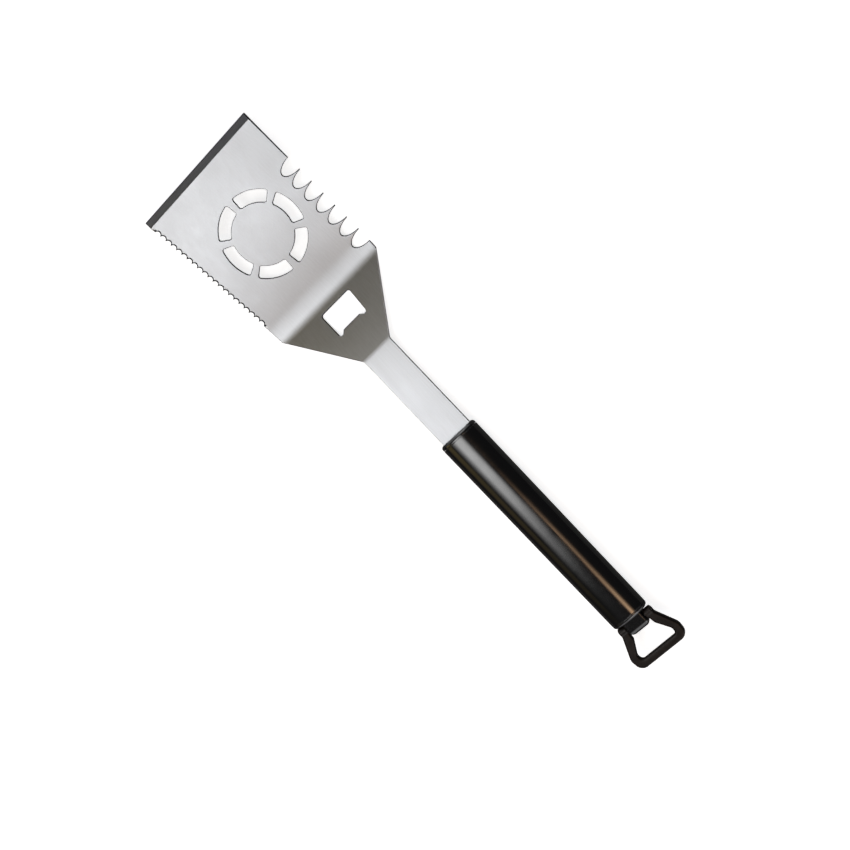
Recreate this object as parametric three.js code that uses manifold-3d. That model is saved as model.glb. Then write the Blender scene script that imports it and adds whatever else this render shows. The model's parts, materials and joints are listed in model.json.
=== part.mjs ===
// Grill spatula: one stamped and bent steel head with a long tang, a hollow oval handle
// built round the tang, and a hanging loop that swings on a cross pin at the butt.
//
// Millimetres. The tool is drawn with its blade flat: x = 0 at the front edge and falling
// towards the butt, +Y on the tool's left, +Z out of the blade's upper face. The last lines
// tip it onto a table, where it stands on its first bend and on the front of the handle.

import * as THREE from 'three';
import { mergeVertices } from 'three/addons/utils/BufferGeometryUtils.js';
import Module from 'manifold-3d';

const wasm = await Module();
wasm.setup();

// ---------------------------------------------------------------- driving dimensions

const CLEARANCE = 0.3;          // left between two pieces that touch on the real tool

// Steel head, measured along the sheet from the front edge
const SHEET = 1.5;
const FRONT_WIDTH = 100;
const REAR_WIDTH = 92.2;
const FLAT_LENGTH = 104.4;      // flat part of the blade
const CURL_LENGTH = 13.6;       // gentle upward curve behind it, up to the first bend
const NECK_LENGTH = 48.1;
const STRIP_LENGTH = 75.2;      // narrow strip between the neck and the handle
const STRIP_WIDTH = 24.4;
const CURL_RISE = 4.7;          // degrees
const NECK_RISE = 16.5;
const HANDLE_RISE = 10.7;
const FIRST_BEND_LENGTH = 5;    // sheet used up by each bend's radius
const SECOND_BEND_LENGTH = 3.5;

const FRONT_BEVEL = 5;          // ground width on the upper face
const FRONT_LAND = 0.4;         // sheet left at the very edge
const SIDE_BEVEL = 1.9;
const SIDE_LAND = 0.8;

const SCALLOP_COUNT = 7;        // large notches, right edge
const SCALLOP_START = 38.4;
const SCALLOP_PITCH = 10.55;
const SCALLOP_DEPTH = 10.8;
const SCALLOP_TIP = 0.8;        // width left at the point of a tooth
const TOOTH_COUNT = 21;         // fine serration, left edge
const TOOTH_START = 8.3;
const TOOTH_PITCH = 4.43;
const TOOTH_DEPTH = 1.7;
const TOOTH_TIP = 0.5;

const DRAIN_CENTRE = 60;        // ring of arc slots
const DRAIN_RADIUS = 25.3;
const DRAIN_WIDTH = 8.4;
const DRAIN_COUNT = 6;
const DRAIN_BRIDGE = 5;
const DRAIN_CORNER = 1.4;

const OPENER_START = 6.3;       // bottle opener window, measured from the first bend
const OPENER_LENGTH = 18.6;
const OPENER_FRONT_WIDTH = 26.8;
const OPENER_REAR_WIDTH = 25.4;
const OPENER_TAB_WIDTH = 15.2;
const OPENER_TAB_HEIGHT = 2;

const TANG_WIDTH = 18.6;
const TANG_SHOULDER = 4.2;      // where the strip narrows, measured back from the handle's mouth
const TANG_END = 136;

// Handle, measured back from its mouth
const HANDLE_LENGTH = 165.5;
const HANDLE_FRONT_WIDTH = 29.2;
const HANDLE_REAR_WIDTH = 27.8;
const HANDLE_THICKNESS = 18;
const HANDLE_SQUARENESS = 2.3;  // 2 would be an ellipse
const SHELL_WALL = 2.2;
const SHELL_CHAMFER = 0.25;
const COLLAR_LENGTH = 3;
const COLLAR_SPIGOT = 5;
const FLANGE_LENGTH = 2.6;
const CAP_SPIGOT = 15;
const SPIGOT_WALL = 3.4;        // how far a spigot stands in from the handle's outside
const COLLAR_ROUND = 2.2;
const CAP_ROUND = 2;
const CORE_START = 10;
const CORE_END = 140;
const CORE_INSET = 2.55;
const RIVET_PLACES = [36, 112];
const RIVET_RADIUS = 2;
const RIVET_HEAD_RADIUS = 3.6;
const RIVET_HEAD_HEIGHT = 1.2;
const RIVET_TOP = 5.9;          // height of a rivet's end over the sheet's middle
const SCREW_PLACE = 155;
const SCREW_RADIUS = 1.5;
const SCREW_HEAD_RADIUS = 2.7;
const SCREW_HEAD_HEIGHT = 1.6;
const SCREW_LENGTH = 9;

// Hanging loop
const PIN_PLACE = 169.8;
const PIN_RADIUS = 1.5;
const PIN_HALF_LENGTH = 13.5;
const TONGUE_END = 176.4;
const TONGUE_WIDTH = 15.6;
const TONGUE_THICKNESS = 9;
const LOOP_THICKNESS = 5;
const LOOP_EYE_RADIUS = 3.3;
const LOOP_END = 197.8;
const LOOP_ROOT_WIDTH = 27.6;
const LOOP_FLARE_WIDTH = 42.6;
const LOOP_FLARE_PLACE = 188;
const LOOP_LEG = 6.6;
const LOOP_BAR = 5.6;
const LOOP_CORNER = 6;

const ARC_STEPS = 10;
const ROUND_STEPS = 24;
const SECTION_STEPS = 52;

// ---------------------------------------------------------------- worked out from them

const BEND_PLACE = FLAT_LENGTH + CURL_LENGTH;
const SECOND_BEND_PLACE = BEND_PLACE + NECK_LENGTH;
const MOUTH_PLACE = SECOND_BEND_PLACE + STRIP_LENGTH;
const radians = THREE.MathUtils.degToRad;
const mix = THREE.MathUtils.lerp;

// ---------------------------------------------------------------- solids

// A closed geometry as a manifold, and back again.
function toManifold(geometry) {
  const bare = geometry.clone();
  bare.deleteAttribute('normal');
  bare.deleteAttribute('uv');
  const welded = mergeVertices(bare, 1e-5);
  const vertProperties = new Float32Array(welded.attributes.position.array);
  const triVerts = new Uint32Array(welded.index.array);
  return new wasm.Manifold(new wasm.Mesh({ numProp: 3, vertProperties, triVerts }));
}

function toGeometry(manifold) {
  const mesh = manifold.getMesh();
  const geometry = new THREE.BufferGeometry();
  geometry.setAttribute('position', new THREE.BufferAttribute(mesh.vertProperties, 3));
  geometry.setIndex(new THREE.BufferAttribute(mesh.triVerts, 1));
  const faceted = geometry.toNonIndexed();
  faceted.computeVertexNormals();
  return faceted;
}

function join(first, ...others) {
  return toGeometry(others.reduce((sum, item) => sum.add(toManifold(item)), toManifold(first)));
}

function cut(body, ...tools) {
  return toGeometry(tools.reduce((rest, tool) => rest.subtract(toManifold(tool)), toManifold(body)));
}

function common(first, second) {
  return toGeometry(toManifold(first).intersect(toManifold(second)));
}

// A flat shape in XY, given thickness about z = 0.
function slab(shape, thickness) {
  const geometry = new THREE.ExtrudeGeometry(shape, { depth: thickness, bevelEnabled: false });
  return geometry.translate(0, 0, -thickness / 2);
}

function box(length, width, height, x, y, z) {
  return new THREE.BoxGeometry(length, width, height).translate(x, y, z);
}

// A round bar along Z from low to high, with its own radius at each end.
function upright(radiusLow, radiusHigh, low, high, x) {
  const bar = new THREE.CylinderGeometry(radiusHigh, radiusLow, high - low, ROUND_STEPS);
  return bar.rotateX(Math.PI / 2).translate(x, 0, (low + high) / 2);
}

// A round bar along Y between two places.
function crossbar(radius, low, high, x) {
  const bar = new THREE.CylinderGeometry(radius, radius, high - low, ROUND_STEPS);
  return bar.translate(x, (low + high) / 2, 0);
}

// A skin over rings of points. With hollow, the last ring joins the first and leaves a tube;
// without it both ends are closed.
function loft(rings, hollow) {
  const count = rings[0].length;
  const points = rings.flat();
  const index = [];
  const bands = hollow ? rings.length : rings.length - 1;
  for (let i = 0; i < bands; i += 1) {
    const here = i * count;
    const next = ((i + 1) % rings.length) * count;
    for (let k = 0; k < count; k += 1) {
      const after = (k + 1) % count;
      index.push(here + k, next + k, next + after);
      index.push(here + k, next + after, here + after);
    }
  }
  if (!hollow) {
    const last = (rings.length - 1) * count;
    for (let k = 1; k < count - 1; k += 1) {
      index.push(0, k, k + 1);
      index.push(last, last + k + 1, last + k);
    }
  }
  const geometry = new THREE.BufferGeometry().setFromPoints(points);
  geometry.setIndex(index);
  const faceted = geometry.toNonIndexed();
  faceted.computeVertexNormals();
  return faceted;
}

// ---------------------------------------------------------------- steel head

function halfWidthAt(place) {
  return mix(FRONT_WIDTH, REAR_WIDTH, place / BEND_PLACE) / 2;
}

// Points of one round notch cut into an edge, from its front end to its rear end.
function notchPoints(start, pitch, tip, depth, side, steps) {
  const radius = (pitch - tip) / 2;
  const points = [];
  for (let i = 0; i <= steps; i += 1) {
    const angle = (Math.PI * i) / steps;
    const place = start + pitch / 2 - radius * Math.cos(angle);
    const edge = halfWidthAt(place);
    points.push(new THREE.Vector2(-place, side * (edge - depth * Math.sin(angle))));
  }
  return points;
}

function notchedEdge(count, start, pitch, tip, depth, side, steps) {
  const points = [];
  for (let i = 0; i < count; i += 1) {
    points.push(...notchPoints(start + i * pitch, pitch, tip, depth, side, steps));
  }
  return points;
}

// Outline of the flat blank: down the right edge, round the tang, back up the left edge.
function blankOutline() {
  const shoulder = MOUTH_PLACE + TANG_SHOULDER;
  const tangEnd = MOUTH_PLACE + TANG_END;
  const chamfer = 3;
  const right = [
    new THREE.Vector2(0, -FRONT_WIDTH / 2),
    ...notchedEdge(SCALLOP_COUNT, SCALLOP_START, SCALLOP_PITCH, SCALLOP_TIP, SCALLOP_DEPTH, -1, 14),
    new THREE.Vector2(-BEND_PLACE, -REAR_WIDTH / 2),
    new THREE.Vector2(-SECOND_BEND_PLACE, -STRIP_WIDTH / 2),
    new THREE.Vector2(-shoulder, -STRIP_WIDTH / 2),
    new THREE.Vector2(-shoulder, -TANG_WIDTH / 2),
    new THREE.Vector2(-(tangEnd - chamfer), -TANG_WIDTH / 2),
    new THREE.Vector2(-tangEnd, -(TANG_WIDTH / 2 - chamfer)),
  ];
  const plainLeft = [
    new THREE.Vector2(-tangEnd, TANG_WIDTH / 2 - chamfer),
    new THREE.Vector2(-(tangEnd - chamfer), TANG_WIDTH / 2),
    new THREE.Vector2(-shoulder, TANG_WIDTH / 2),
    new THREE.Vector2(-shoulder, STRIP_WIDTH / 2),
    new THREE.Vector2(-SECOND_BEND_PLACE, STRIP_WIDTH / 2),
    new THREE.Vector2(-BEND_PLACE, REAR_WIDTH / 2),
  ];
  const serration = notchedEdge(TOOTH_COUNT, TOOTH_START, TOOTH_PITCH, TOOTH_TIP, TOOTH_DEPTH, 1, 6);
  return [...right, ...plainLeft, ...serration.reverse(), new THREE.Vector2(0, FRONT_WIDTH / 2)];
}

// A closed path through points, each corner rounded by its own radius.
function roundedPath(corners) {
  const path = new THREE.Path();
  corners.forEach(([x, y, radius], i) => {
    const point = new THREE.Vector2(x, y);
    const before = corners[(i + corners.length - 1) % corners.length];
    const after = corners[(i + 1) % corners.length];
    const toBefore = new THREE.Vector2(before[0] - x, before[1] - y).normalize();
    const toAfter = new THREE.Vector2(after[0] - x, after[1] - y).normalize();
    const half = Math.acos(toBefore.dot(toAfter)) / 2;
    const reach = radius / Math.tan(half);
    const entry = point.clone().addScaledVector(toBefore, reach);
    const exit = point.clone().addScaledVector(toAfter, reach);
    if (i === 0) {
      path.moveTo(entry.x, entry.y);
    } else {
      path.lineTo(entry.x, entry.y);
    }
    path.quadraticCurveTo(x, y, exit.x, exit.y);
  });
  path.closePath();
  return path;
}

// One arc slot of the drain ring: two arcs and two straight ends with eased corners.
function drainSlot(number) {
  const inner = DRAIN_RADIUS - DRAIN_WIDTH / 2;
  const outer = DRAIN_RADIUS + DRAIN_WIDTH / 2;
  const middle = (2 * Math.PI * (number + 0.5)) / DRAIN_COUNT;
  const half = Math.PI / DRAIN_COUNT - DRAIN_BRIDGE / 2 / DRAIN_RADIUS;
  const at = (radius, angle) => new THREE.Vector2(
    -DRAIN_CENTRE + radius * Math.cos(middle + angle),
    radius * Math.sin(middle + angle),
  );
  const outerEnd = half - DRAIN_CORNER / outer;
  const innerEnd = half - DRAIN_CORNER / inner;
  const points = [];
  for (let i = 0; i <= ARC_STEPS; i += 1) {
    points.push(at(outer, mix(-outerEnd, outerEnd, i / ARC_STEPS)));
  }
  points.push(at(outer - DRAIN_CORNER * 0.3, half - (DRAIN_CORNER * 0.3) / outer));
  points.push(at(outer - DRAIN_CORNER, half));
  points.push(at(inner + DRAIN_CORNER, half));
  points.push(at(inner + DRAIN_CORNER * 0.3, half - (DRAIN_CORNER * 0.3) / inner));
  for (let i = 0; i <= ARC_STEPS; i += 1) {
    points.push(at(inner, mix(innerEnd, -innerEnd, i / ARC_STEPS)));
  }
  points.push(at(inner + DRAIN_CORNER * 0.3, -half + (DRAIN_CORNER * 0.3) / inner));
  points.push(at(inner + DRAIN_CORNER, -half));
  points.push(at(outer - DRAIN_CORNER, -half));
  points.push(at(outer - DRAIN_CORNER * 0.3, -half + (DRAIN_CORNER * 0.3) / outer));
  return new THREE.Path(points);
}

// Bottle opener: a rounded window with a low tab standing into it from the handle side.
function openerWindow() {
  const front = -(BEND_PLACE + OPENER_START);
  const rear = front - OPENER_LENGTH;
  const tabFace = rear + OPENER_TAB_HEIGHT;
  const pocket = 2.4;
  return roundedPath([
    [front, OPENER_FRONT_WIDTH / 2, 2],
    [rear, OPENER_REAR_WIDTH / 2, 1.6],
    [rear, OPENER_TAB_WIDTH / 2 + pocket, 0.3],
    [tabFace, OPENER_TAB_WIDTH / 2, 0.6],
    [tabFace, -OPENER_TAB_WIDTH / 2, 0.6],
    [rear, -OPENER_TAB_WIDTH / 2 - pocket, 0.3],
    [rear, -OPENER_REAR_WIDTH / 2, 1.6],
    [front, -OPENER_FRONT_WIDTH / 2, 2],
  ]);
}

// A wedge that grinds the upper face down to a thin land along a straight edge.
function bevelTool(width, land, length) {
  const drop = SHEET - land;
  const slope = drop / width;
  const over = 2;
  const profile = new THREE.Shape([
    new THREE.Vector2(-width, SHEET / 2),
    new THREE.Vector2(over, SHEET / 2 - slope * (width + over)),
    new THREE.Vector2(over, SHEET * 2),
    new THREE.Vector2(-width, SHEET * 2),
  ]);
  const wedge = new THREE.ExtrudeGeometry(profile, { depth: length, bevelEnabled: false });
  return wedge.translate(0, 0, -length / 2).rotateX(Math.PI / 2);
}

function sideBevelTool() {
  const length = TOOTH_COUNT * TOOTH_PITCH + 2;
  const middle = TOOTH_START + (TOOTH_COUNT * TOOTH_PITCH) / 2;
  const taper = Math.atan2((FRONT_WIDTH - REAR_WIDTH) / 2, BEND_PLACE);
  const wedge = bevelTool(SIDE_BEVEL, SIDE_LAND, length).rotateZ(Math.PI / 2 + taper);
  return wedge.translate(-middle, halfWidthAt(middle), 0);
}

// Rise of the sheet, in degrees, at a place along it.
function riseAt(place) {
  const bendStart = BEND_PLACE - FIRST_BEND_LENGTH / 2;
  const bendEnd = BEND_PLACE + FIRST_BEND_LENGTH / 2;
  const secondStart = SECOND_BEND_PLACE - SECOND_BEND_LENGTH / 2;
  const secondEnd = SECOND_BEND_PLACE + SECOND_BEND_LENGTH / 2;
  const ramp = (from, to, low, high) => mix(low, high, (place - from) / (to - from));
  if (place < FLAT_LENGTH) return 0;
  if (place < bendStart) return ramp(FLAT_LENGTH, bendStart, 0, CURL_RISE);
  if (place < bendEnd) return ramp(bendStart, bendEnd, CURL_RISE, NECK_RISE);
  if (place < secondStart) return NECK_RISE;
  if (place < secondEnd) return ramp(secondStart, secondEnd, NECK_RISE, HANDLE_RISE);
  return HANDLE_RISE;
}

// Places where the sheet turns: several across each curved stretch, none on the flats.
function bendPlaces() {
  const stretches = [
    [FLAT_LENGTH, BEND_PLACE - FIRST_BEND_LENGTH / 2, 4],
    [BEND_PLACE - FIRST_BEND_LENGTH / 2, BEND_PLACE + FIRST_BEND_LENGTH / 2, 5],
    [SECOND_BEND_PLACE - SECOND_BEND_LENGTH / 2, SECOND_BEND_PLACE + SECOND_BEND_LENGTH / 2, 4],
  ];
  const places = [];
  for (const [from, to, steps] of stretches) {
    for (let i = 0; i <= steps; i += 1) {
      places.push(mix(from, to, i / steps));
    }
  }
  return [...new Set(places)].sort((a, b) => a - b);
}

// The sheet's middle line: a list of knots with the place, the point and the facing there.
function middleLine() {
  const places = [0, ...bendPlaces(), MOUTH_PLACE, MOUTH_PLACE + TANG_END];
  const rises = places.slice(1).map((place, i) => radians(riseAt((place + places[i]) / 2)));
  const knots = [];
  const point = new THREE.Vector3();
  places.forEach((place, i) => {
    const before = rises[Math.max(i - 1, 0)];
    const after = rises[Math.min(i, rises.length - 1)];
    const facing = (before + after) / 2;
    const stretch = 1 / Math.cos((after - before) / 2);
    const normal = new THREE.Vector3(Math.sin(facing), 0, Math.cos(facing));
    knots.push({ place, point: point.clone(), normal: normal.multiplyScalar(stretch) });
    if (i < rises.length) {
      const step = places[i + 1] - place;
      point.x -= step * Math.cos(rises[i]);
      point.z += step * Math.sin(rises[i]);
    }
  });
  return knots;
}

// Where a point of the flat blank comes to lie once the sheet is bent.
function bentPoint(knots, point) {
  const near = knots.find((knot) => Math.abs(knot.place + point.x) < 1e-4);
  const place = near ? near.place : Math.max(-point.x, 0);
  const i = Math.max(knots.findIndex((knot) => knot.place >= place), 1);
  const share = (place - knots[i - 1].place) / (knots[i].place - knots[i - 1].place);
  const onLine = knots[i - 1].point.clone().lerp(knots[i].point, share);
  const normal = knots[i - 1].normal.clone().lerp(knots[i].normal, share);
  onLine.addScaledVector(normal, point.z);
  onLine.y = point.y;
  return onLine;
}

// Bend a flat blank: cut it into panels where the sheet turns, move every vertex, and weld
// the panels along the edges that they share.
function bend(blank, knots) {
  const panels = knots.slice(1).map((knot, i) => {
    const from = i === 0 ? -1 : knots[i].place;
    const length = knot.place - from;
    const panel = common(blank, box(length, FRONT_WIDTH * 1.2, SHEET * 4, -from - length / 2, 0, 0));
    const position = panel.attributes.position;
    const point = new THREE.Vector3();
    for (let k = 0; k < position.count; k += 1) {
      const moved = bentPoint(knots, point.fromBufferAttribute(position, k));
      position.setXYZ(k, moved.x, moved.y, moved.z);
    }
    return panel;
  });
  return join(...panels);
}

function headPlate(knots) {
  const shape = new THREE.Shape(blankOutline());
  for (let i = 0; i < DRAIN_COUNT; i += 1) {
    shape.holes.push(drainSlot(i));
  }
  shape.holes.push(openerWindow());
  const blank = new THREE.ExtrudeGeometry(shape, {
    depth: SHEET,
    bevelEnabled: false,
    curveSegments: 4,
  });
  blank.translate(0, 0, -SHEET / 2);
  const tangHoles = RIVET_PLACES.map((place) => {
    const hole = RIVET_RADIUS + CLEARANCE;
    return upright(hole, hole, -SHEET, SHEET, -(MOUTH_PLACE + place));
  });
  const frontBevel = bevelTool(FRONT_BEVEL, FRONT_LAND, FRONT_WIDTH * 1.2);
  return bend(cut(blank, frontBevel, sideBevelTool(), ...tangHoles), knots);
}

// ---------------------------------------------------------------- handle

// Ring of points round the handle's section at a place, set in from the outside.
function sectionRing(place, inset, height = HANDLE_THICKNESS / 2) {
  const share = place / HANDLE_LENGTH;
  const halfWidth = mix(HANDLE_FRONT_WIDTH, HANDLE_REAR_WIDTH, share) / 2 - inset;
  const halfHeight = height - inset;
  const power = 2 / HANDLE_SQUARENESS;
  const ring = [];
  for (let k = 0; k < SECTION_STEPS; k += 1) {
    const angle = (2 * Math.PI * k) / SECTION_STEPS;
    const across = Math.cos(angle);
    const up = Math.sin(angle);
    const y = halfWidth * Math.sign(across) * Math.abs(across) ** power;
    const z = halfHeight * Math.sign(up) * Math.abs(up) ** power;
    ring.push(new THREE.Vector3(-place, y, z));
  }
  return ring;
}

// Rings of a rounded edge at one end of a section bar. way is +1 at the front, -1 at the rear.
function edgeRings(place, inset, round, way) {
  const steps = round > 0 ? 4 : 0;
  const rings = [];
  for (let i = 0; i <= steps; i += 1) {
    const angle = steps > 0 ? (Math.PI / 2) * (i / steps) : 0;
    const back = way * round * (1 - Math.sin(angle));
    rings.push(sectionRing(place + back, inset + round * (1 - Math.cos(angle))));
  }
  return way > 0 ? rings.reverse() : rings;
}

// Solid bar of the handle's section, with rounded edges where asked.
function sectionBar(from, to, inset, frontRound = 0, rearRound = 0) {
  const front = edgeRings(from, inset, frontRound, 1);
  const rear = edgeRings(to, inset, rearRound, -1);
  return loft([...front, ...rear], false);
}

function handleShell() {
  const from = COLLAR_LENGTH + CLEARANCE;
  const to = HANDLE_LENGTH - FLANGE_LENGTH - CLEARANCE;
  const tube = loft([
    sectionRing(from, SHELL_CHAMFER),
    sectionRing(from + SHELL_CHAMFER, 0),
    sectionRing(to - SHELL_CHAMFER, 0),
    sectionRing(to, SHELL_CHAMFER),
    sectionRing(to, SHELL_WALL),
    sectionRing(from, SHELL_WALL),
  ], true);
  const bottom = -HANDLE_THICKNESS / 2;
  const hole = SCREW_RADIUS + CLEARANCE;
  const sink = SCREW_HEAD_RADIUS + CLEARANCE;
  const drilling = upright(hole, hole, bottom - 1, 0, -SCREW_PLACE);
  const countersink = upright(sink + 1, hole, bottom - 1, bottom + SCREW_HEAD_HEIGHT, -SCREW_PLACE);
  return cut(tube, drilling, countersink);
}

function frontCollar() {
  const face = sectionBar(0, COLLAR_LENGTH, 0.05, COLLAR_ROUND, 0.3);
  const spigot = sectionBar(COLLAR_LENGTH - 0.5, COLLAR_LENGTH + COLLAR_SPIGOT, SPIGOT_WALL - 0.6);
  const gap = 2 * CLEARANCE;
  const length = 3 * COLLAR_SPIGOT;
  const slot = box(length, STRIP_WIDTH + gap, SHEET + gap, length / 2 - TANG_SHOULDER - CLEARANCE, 0, 0);
  const tangSlot = box(2 * length, TANG_WIDTH + gap, SHEET + gap, 0, 0, 0);
  return cut(join(face, spigot), slot, tangSlot);
}

// One of the two moulded halves that clamp the tang and fill the shell. side is +1 or -1.
function tangCore(side) {
  const bar = sectionBar(CORE_START, CORE_END, CORE_INSET);
  const length = CORE_END - CORE_START + 10;
  const middle = -(CORE_START + CORE_END) / 2;
  const half = box(length, 40, 20, middle, 0, side * (10 + CLEARANCE / 2));
  const pocket = SHEET + 2 * CLEARANCE;
  const tangSpace = box(length, TANG_WIDTH + 2 * CLEARANCE, pocket, middle + CORE_END - TANG_END, 0, 0);
  const hollows = RIVET_PLACES.map((place) => {
    const hole = RIVET_RADIUS + CLEARANCE;
    return upright(hole, hole, -10, 10, -place);
  });
  const seats = RIVET_PLACES.map((place) => {
    const seat = RIVET_HEAD_RADIUS + CLEARANCE;
    const floor = RIVET_TOP - RIVET_HEAD_HEIGHT - CLEARANCE;
    const [low, high] = side > 0 ? [floor, 10] : [-10, -floor];
    return upright(seat, seat, low, high, -place);
  });
  return cut(common(bar, half), tangSpace, ...hollows, ...seats);
}

function coreRivet(place) {
  const shank = upright(RIVET_RADIUS, RIVET_RADIUS, -RIVET_TOP + 0.2, RIVET_TOP - 0.2, -place);
  const under = RIVET_TOP - RIVET_HEAD_HEIGHT;
  const top = upright(RIVET_HEAD_RADIUS, RIVET_HEAD_RADIUS * 0.8, under, RIVET_TOP, -place);
  const bottom = upright(RIVET_HEAD_RADIUS * 0.8, RIVET_HEAD_RADIUS, -RIVET_TOP, -under, -place);
  return join(shank, top, bottom);
}

// The butt: a spigot in the shell, a flange over its end, and the tongue that carries the pin.
function endCap() {
  const flangeStart = HANDLE_LENGTH - FLANGE_LENGTH;
  const flange = sectionBar(flangeStart, HANDLE_LENGTH, 0.05, 0.3, CAP_ROUND);
  const spigot = sectionBar(flangeStart - CAP_SPIGOT, flangeStart + 0.5, SHELL_WALL + CLEARANCE);
  const corner = 3.4;
  const root = -(HANDLE_LENGTH - 1);
  const outline = new THREE.Shape(roundedPath([
    [root, TONGUE_WIDTH / 2, 0.01],
    [root, -TONGUE_WIDTH / 2, 0.01],
    [-TONGUE_END, -TONGUE_WIDTH / 2, corner],
    [-TONGUE_END, TONGUE_WIDTH / 2, corner],
  ]).getPoints(8));
  const plan = slab(outline, TONGUE_THICKNESS);
  const nose = crossbar(TONGUE_THICKNESS / 2, -TONGUE_WIDTH, TONGUE_WIDTH, -(TONGUE_END - TONGUE_THICKNESS / 2));
  const stem = box(12, 2 * TONGUE_WIDTH, TONGUE_THICKNESS, -(TONGUE_END - TONGUE_THICKNESS / 2) + 6, 0, 0);
  const tongue = common(plan, join(nose, stem));
  const bore = crossbar(PIN_RADIUS + CLEARANCE, -20, 20, -PIN_PLACE);
  const hole = SCREW_RADIUS + CLEARANCE;
  const pilot = upright(hole, hole, -HANDLE_THICKNESS, -HANDLE_THICKNESS / 2 + SCREW_LENGTH + 1, -SCREW_PLACE);
  return cut(join(flange, spigot, tongue), bore, pilot);
}

function capScrew() {
  const bottom = -HANDLE_THICKNESS / 2 + 0.15;
  const shank = upright(SCREW_RADIUS, SCREW_RADIUS, bottom + 0.4, bottom + SCREW_LENGTH, -SCREW_PLACE);
  const head = upright(SCREW_HEAD_RADIUS, SCREW_RADIUS, bottom, bottom + SCREW_HEAD_HEIGHT, -SCREW_PLACE);
  const recess = box(3.4, 0.7, 1.4, -SCREW_PLACE, 0, bottom);
  const crossRecess = box(0.7, 3.4, 1.4, -SCREW_PLACE, 0, bottom);
  return cut(join(head, shank), recess, crossRecess);
}

// ---------------------------------------------------------------- hanging loop

// Outline of the loop seen from above, and of the eye inside it. The legs start at the pin.
function loopOutline() {
  const waist = LOOP_FLARE_WIDTH / 2;
  const root = LOOP_ROOT_WIDTH / 2;
  return roundedPath([
    [-PIN_PLACE, root, 0.01],
    [-(PIN_PLACE + 3), root + 0.6, 4],
    [-LOOP_FLARE_PLACE, waist, 8],
    [-LOOP_END, waist - 1.2, LOOP_CORNER],
    [-LOOP_END, -(waist - 1.2), LOOP_CORNER],
    [-LOOP_FLARE_PLACE, -waist, 8],
    [-(PIN_PLACE + 3), -(root + 0.6), 4],
    [-PIN_PLACE, -root, 0.01],
  ]);
}

function loopEye() {
  const inner = TONGUE_WIDTH / 2 + CLEARANCE;
  const waist = LOOP_FLARE_WIDTH / 2 - LOOP_LEG;
  const front = -(PIN_PLACE - LOOP_EYE_RADIUS - 1);
  return roundedPath([
    [front, inner, 0.01],
    [-(TONGUE_END + 1.5), inner + 1.2, 2],
    [-LOOP_FLARE_PLACE, waist + 0.6, 4],
    [-(LOOP_END - LOOP_BAR), waist, 2.5],
    [-(LOOP_END - LOOP_BAR), -waist, 2.5],
    [-LOOP_FLARE_PLACE, -(waist + 0.6), 4],
    [-(TONGUE_END + 1.5), -(inner + 1.2), 2],
    [front, -inner, 0.01],
  ]);
}

function hangLoop() {
  const plan = slab(new THREE.Shape(loopOutline().getPoints(6)), LOOP_THICKNESS);
  const inner = TONGUE_WIDTH / 2 + CLEARANCE;
  const outer = LOOP_ROOT_WIDTH / 2;
  const eyes = [[inner - 1, outer], [-outer, 1 - inner]].map(([low, high]) => (
    crossbar(LOOP_EYE_RADIUS, low, high, -PIN_PLACE)
  ));
  const opening = slab(new THREE.Shape(loopEye().getPoints(6)), 3 * LOOP_EYE_RADIUS);
  const bore = crossbar(PIN_RADIUS + CLEARANCE, -20, 20, -PIN_PLACE);
  return cut(join(plan, ...eyes), opening, bore);
}

function loopPin() {
  return crossbar(PIN_RADIUS, -PIN_HALF_LENGTH, PIN_HALF_LENGTH, -PIN_PLACE);
}

// ---------------------------------------------------------------- assembly

const steel = { color: 0xc9cacd, roughness: 0.32, metalness: 1 };
const fastenerSteel = { color: 0xb4b5b8, roughness: 0.4, metalness: 1 };
const glossBlack = { color: 0x0b0b0c, roughness: 0.12, metalness: 0 };
const castBlack = { color: 0x17110d, roughness: 0.35, metalness: 0.6 };
const coreGrey = { color: 0x3a3b3d, roughness: 0.7, metalness: 0 };

function part(name, geometry, look) {
  const mesh = new THREE.Mesh(geometry, new THREE.MeshStandardMaterial(look));
  mesh.name = name;
  return mesh;
}

const knots = middleLine();
const mouth = bentPoint(knots, new THREE.Vector3(-MOUTH_PLACE, 0, 0));

const handle = new THREE.Group();
handle.add(
  part('front_collar', frontCollar(), glossBlack),
  part('handle_shell', handleShell(), glossBlack),
  part('tang_core_upper', tangCore(1), coreGrey),
  part('tang_core_lower', tangCore(-1), coreGrey),
  part('core_rivet_front', coreRivet(RIVET_PLACES[0]), fastenerSteel),
  part('core_rivet_rear', coreRivet(RIVET_PLACES[1]), fastenerSteel),
  part('end_cap', endCap(), glossBlack),
  part('end_cap_screw', capScrew(), fastenerSteel),
  part('loop_pin', loopPin(), fastenerSteel),
  part('hang_loop', hangLoop(), castBlack),
);
handle.position.copy(mouth);
handle.rotation.y = radians(HANDLE_RISE);

const tool = new THREE.Group();
tool.add(part('head_plate', headPlate(knots), steel), handle);

// Tip the tool onto its first bend and the front of the handle's underside.
handle.updateMatrixWorld(true);
const shellStart = -(COLLAR_LENGTH + CLEARANCE + SHELL_CHAMFER);
const heel = bentPoint(knots, new THREE.Vector3(-BEND_PLACE, 0, -SHEET / 2));
const foot = handle.localToWorld(new THREE.Vector3(shellStart, 0, -HANDLE_THICKNESS / 2));
tool.rotation.y = -Math.atan2(foot.z - heel.z, heel.x - foot.x);

const group = new THREE.Group();
group.add(tool);
group.updateMatrixWorld(true);
const bounds = new THREE.Box3().setFromObject(group, true);
const middle = bounds.getCenter(new THREE.Vector3());
tool.position.set(-middle.x, -middle.y, -bounds.min.z);

export default group;
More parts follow.
